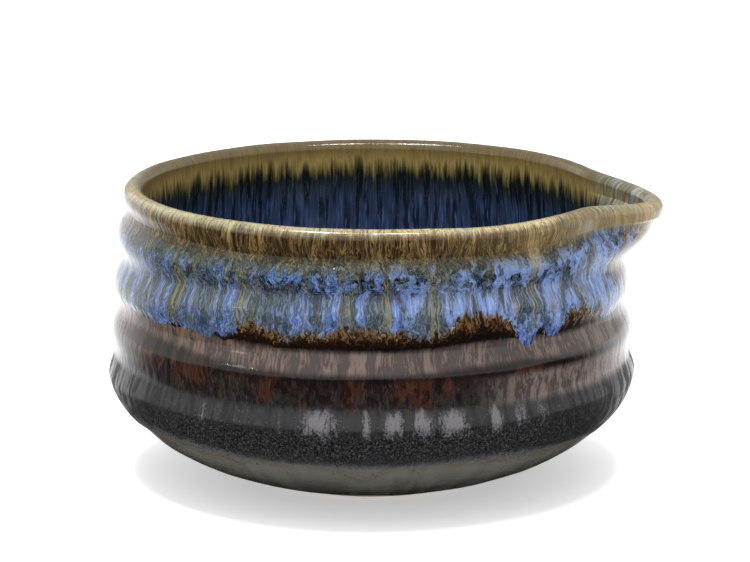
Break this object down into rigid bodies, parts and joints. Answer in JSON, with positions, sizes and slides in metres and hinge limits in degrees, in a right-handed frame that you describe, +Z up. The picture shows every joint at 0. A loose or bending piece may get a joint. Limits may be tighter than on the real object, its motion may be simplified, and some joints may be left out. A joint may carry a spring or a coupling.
{
  "type": "spouted matcha bowl",
  "caption": "Wide stoneware tea bowl with ribbed wall, rounded belly, one pulled pouring spout in its rim, low foot ring and several glossy glaze coats.",
  "frame": {"origin": "centre of the foot ring's underside, on the table", "axes": "+Z up out of the bowl's mouth, +X from the bowl's axis towards the tip of the spout"},
  "size_m": [0.1351, 0.1288, 0.072],
  "materials": {
    "stoneware": "bare fired clay, fine dark speckle",
    "foot_stoneware": "bare fired clay, turned and slightly rough",
    "olive_base_glaze": "glossy, glassy olive grey",
    "slate_glaze": "glossy, near black with pewter and oxblood streaks",
    "blue_glaze": "glossy, streaked blue with pale threads",
    "amber_lip_glaze": "glossy, amber and tan that breaks to olive",
    "liner_glaze": "glossy, pooled blue with pale threads"
  },
  "bodies": {
    "root": {"clay_body": "stoneware", "foot_ring": "foot_stoneware", "base_glaze": "olive_base_glaze", "slate_glaze": "slate_glaze", "blue_glaze": "blue_glaze", "lip_glaze": "amber_lip_glaze", "liner_glaze": "liner_glaze"}
  },
  "joints": []
}
